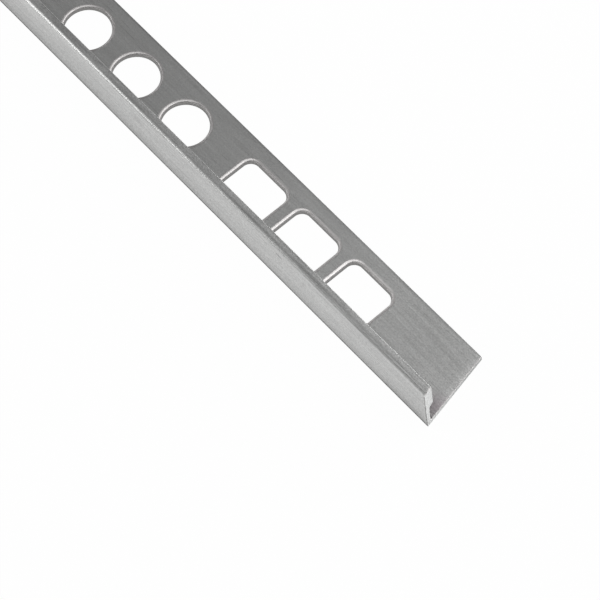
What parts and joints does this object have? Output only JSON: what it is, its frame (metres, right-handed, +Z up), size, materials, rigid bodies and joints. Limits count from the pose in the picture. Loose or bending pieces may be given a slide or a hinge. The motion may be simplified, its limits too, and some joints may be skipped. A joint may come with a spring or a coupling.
{
  "type": "tile edge trim",
  "caption": "Straight-edge L-section tile trim bar: thick finishing head on a thin leg, and a punched flange that is bedded under the tile.",
  "frame": {"origin": "centre of the bounding box in X and Y, on the flat underside that rests on the floor", "axes": "+X along the bar towards its skewed saw-cut end, +Y across the punched flange away from the upright leg, +Z up the leg towards the head"},
  "size_m": [1, 0.025, 0.0175],
  "materials": {
    "aluminium": "mill finish, satin, with fine lengthwise grain"
  },
  "bodies": {
    "root": {"trim_profile": "aluminium"}
  },
  "joints": []
}
